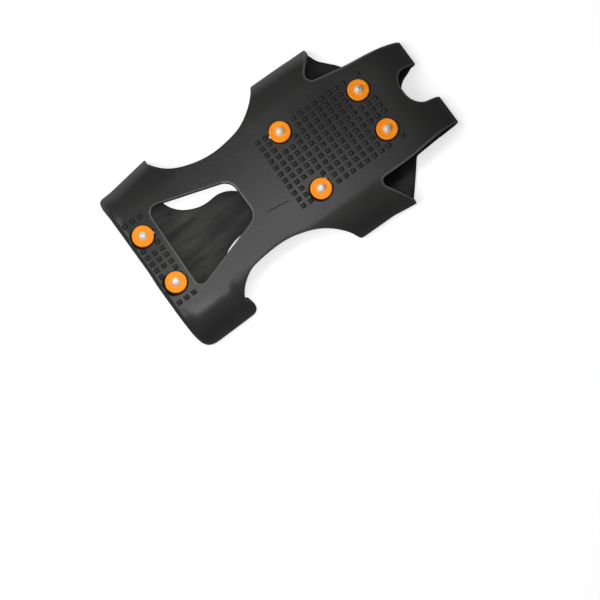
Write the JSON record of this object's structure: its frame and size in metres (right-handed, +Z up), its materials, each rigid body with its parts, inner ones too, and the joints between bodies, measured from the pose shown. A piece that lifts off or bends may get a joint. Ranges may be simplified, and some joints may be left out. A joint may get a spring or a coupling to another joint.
{
  "type": "ice cleat",
  "caption": "Pull-on rubber overshoe with turning steel studs in plastic discs, worn over a shoe for grip on ice, lying on its heel and toe bands with the tread up.",
  "frame": {"origin": "on the surface that the cleat lies on, under the middle of its length and width", "axes": "+X towards the toe, +Y to the left side seen from the heel with the tread up, +Z up, out of the tread"},
  "size_m": [0.21, 0.1156, 0.032],
  "materials": {
    "rubber": "satin moulded rubber",
    "orange_plastic": "moulded plastic, slightly glossy",
    "steel": "turned, bright",
    "carbide": "ground, dull"
  },
  "bodies": {
    "overshoe": {"overshoe": "rubber"},
    "heel_left_stud": {"heel_left_disc": "orange_plastic", "heel_left_spike": "steel", "heel_left_tip": "carbide"},
    "heel_right_stud": {"heel_right_disc": "orange_plastic", "heel_right_spike": "steel", "heel_right_tip": "carbide"},
    "ball_left_stud": {"ball_left_disc": "orange_plastic", "ball_left_spike": "steel", "ball_left_tip": "carbide"},
    "ball_right_stud": {"ball_right_disc": "orange_plastic", "ball_right_spike": "steel", "ball_right_tip": "carbide"},
    "toe_left_stud": {"toe_left_disc": "orange_plastic", "toe_left_spike": "steel", "toe_left_tip": "carbide"},
    "toe_right_stud": {"toe_right_disc": "orange_plastic", "toe_right_spike": "steel", "toe_right_tip": "carbide"}
  },
  "joints": [
    {"name": "heel_left_turn", "type": "hinge", "parent": "overshoe", "child": "heel_left_stud", "pos_m": [-0.0962, 0.0173, 0.026], "axis": [0, 0, 1], "continuous": true},
    {"name": "heel_right_turn", "type": "hinge", "parent": "overshoe", "child": "heel_right_stud", "pos_m": [-0.0962, -0.0173, 0.026], "axis": [0, 0, 1], "continuous": true},
    {"name": "ball_left_turn", "type": "hinge", "parent": "overshoe", "child": "ball_left_stud", "pos_m": [0.0085, 0.0216, 0.026], "axis": [0, 0, 1], "continuous": true},
    {"name": "ball_right_turn", "type": "hinge", "parent": "overshoe", "child": "ball_right_stud", "pos_m": [0.0085, -0.0216, 0.026], "axis": [0, 0, 1], "continuous": true},
    {"name": "toe_left_turn", "type": "hinge", "parent": "overshoe", "child": "toe_left_stud", "pos_m": [0.0625, 0.015, 0.026], "axis": [0, 0, 1], "continuous": true},
    {"name": "toe_right_turn", "type": "hinge", "parent": "overshoe", "child": "toe_right_stud", "pos_m": [0.0625, -0.015, 0.026], "axis": [0, 0, 1], "continuous": true}
  ]
}
